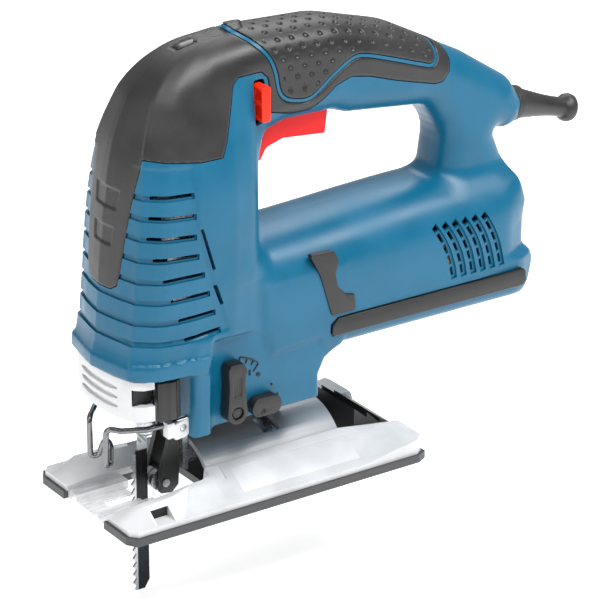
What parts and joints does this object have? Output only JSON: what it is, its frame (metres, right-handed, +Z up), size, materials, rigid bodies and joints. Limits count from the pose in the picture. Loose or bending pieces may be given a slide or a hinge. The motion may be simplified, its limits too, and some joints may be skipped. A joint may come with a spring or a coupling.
{
  "type": "jigsaw power tool",
  "caption": "Corded jigsaw with a closed D-handle, orbital blade guide, tilting U-shaped base, wire guard and rear air vents.",
  "frame": {"origin": "on the underside of the sole, at mid-length of the sole, in the plane of symmetry and on the bevel axis", "axes": "-X towards the blade end (the front), -Y towards the tool's left side, +Z up towards the handle"},
  "size_m": [0.263, 0.0804, 0.2505],
  "materials": {
    "housing_plastic": "satin",
    "soft_grip": "matte",
    "trim_black": "satin",
    "trigger_red": "satin",
    "lock_orange": "satin",
    "cover_white": "satin",
    "plate_cast": "painted cast",
    "case_cast": "cast",
    "steel": "ground",
    "wire_chrome": "bright",
    "brass": "satin",
    "clear_guard": "clear plastic",
    "fan_plastic": "matte",
    "carbon": "matte"
  },
  "bodies": {
    "housing": {"housing_left": "housing_plastic", "housing_right": "housing_plastic", "nose_grip": "soft_grip", "handle_pad": "soft_grip", "handle_bands": "soft_grip", "side_bumpers": "trim_black", "badge_plates": "trim_black", "housing_screws": "steel", "cable_boot": "soft_grip", "terminal_block": "trim_black", "cable_clamp": "trim_black", "stator": "steel", "gear_axle": "steel", "front_bearing": "steel", "rear_bearing": "steel", "rear_bearing_seat": "soft_grip", "brush_holders": "brass", "carbon_brushes": "carbon", "gear_case": "case_cast", "lower_bushing": "brass", "upper_bushing": "brass", "fork_pin": "steel", "trigger_axle": "steel", "switch_block": "trim_black", "wheel_axle": "steel", "speed_module": "trim_black", "front_cover": "cover_white", "guard_brackets": "case_cast", "wire_guard": "wire_chrome", "release_pin": "steel", "work_light": "clear_guard", "base_guide": "steel"},
    "armature": {"motor_shaft": "steel", "armature_core": "steel", "commutator": "brass", "cooling_fan": "fan_plastic", "pinion": "steel"},
    "gear": {"gear_wheel": "steel", "crank_pin": "steel"},
    "plunger": {"plunger_rod": "steel", "scotch_yoke": "steel", "blade_clamp": "steel", "saw_blade": "steel"},
    "fork": {"roller_fork": "trim_black", "roller_pin": "steel"},
    "roller": {"guide_roller": "steel"},
    "orbit_selector": {"orbital_lever": "trim_black", "orbital_shaft": "steel"},
    "blower": {"blower_knob": "trim_black"},
    "trigger_lever": {"trigger": "trigger_red"},
    "lock_button": {"lock_slider": "lock_orange"},
    "speed_dial": {"speed_wheel": "trim_black"},
    "release_lever": {"blade_release": "trim_black"},
    "base_carriage": {"base_clamp": "steel", "clamp_screw": "steel"},
    "base": {"base_plate": "plate_cast", "sole_shoe": "trim_black", "splinter_guard": "clear_guard", "dust_duct": "trim_black"}
  },
  "joints": [
    {"name": "gear_spin", "type": "hinge", "parent": "housing", "child": "gear", "pos_m": [-0.0195, 0, 0.1125], "axis": [1, 0, 0], "continuous": true},
    {"name": "motor_spin", "type": "hinge", "parent": "housing", "child": "armature", "pos_m": [0.06, 0, 0.089], "axis": [1, 0, 0], "continuous": true},
    {"name": "plunger_stroke", "type": "slide", "parent": "housing", "child": "plunger", "axis": [0, 0, 1], "range_m": [0, 0.026]},
    {"name": "fork_swing", "type": "hinge", "parent": "housing", "child": "fork", "pos_m": [-0.033, 0, 0.06], "axis": [0, 1, 0], "range_deg": [-3, 0]},
    {"name": "roller_spin", "type": "hinge", "parent": "fork", "child": "roller", "pos_m": [-0.0396, 0, 0.0072], "axis": [0, 1, 0], "continuous": true},
    {"name": "orbital_select", "type": "hinge", "parent": "housing", "child": "orbit_selector", "pos_m": [-0.019, 0, 0.046], "axis": [0, 1, 0], "range_deg": [0, 45]},
    {"name": "blower_turn", "type": "hinge", "parent": "housing", "child": "blower", "pos_m": [-0.003, 0, 0.045], "axis": [0, 1, 0], "range_deg": [-40, 0]},
    {"name": "trigger_pull", "type": "hinge", "parent": "housing", "child": "trigger_lever", "pos_m": [0.041, 0, 0.1702], "axis": [0, 1, 0], "range_deg": [0, 6], "stiffness_Nm_per_rad": 0.4, "springref_deg": -5.73},
    {"name": "lock_push", "type": "slide", "parent": "housing", "child": "lock_button", "axis": [0, 1, 0], "range_m": [0, 0.004], "stiffness_N_per_m": 300, "springref_m": -0.001},
    {"name": "speed_turn", "type": "hinge", "parent": "housing", "child": "speed_dial", "pos_m": [0.1385, 0, 0.104], "axis": [0, 1, 0], "range_deg": [0, 270]},
    {"name": "blade_release_swing", "type": "hinge", "parent": "housing", "child": "release_lever", "pos_m": [-0.0458, -0.0263, 0.057], "axis": [0, 0, 1], "range_deg": [0, 70]},
    {"name": "base_slide", "type": "slide", "parent": "housing", "child": "base_carriage", "axis": [1, 0, 0], "range_m": [0, 0.005]},
    {"name": "bevel_tilt", "type": "hinge", "parent": "base_carriage", "child": "base", "pos_m": [0, 0, 0], "axis": [1, 0, 0], "range_deg": [-45, 45]}
  ],
  "couplings": [
    {"joint": "motor_spin", "follows": "gear_spin", "ratio": -4}
  ]
}
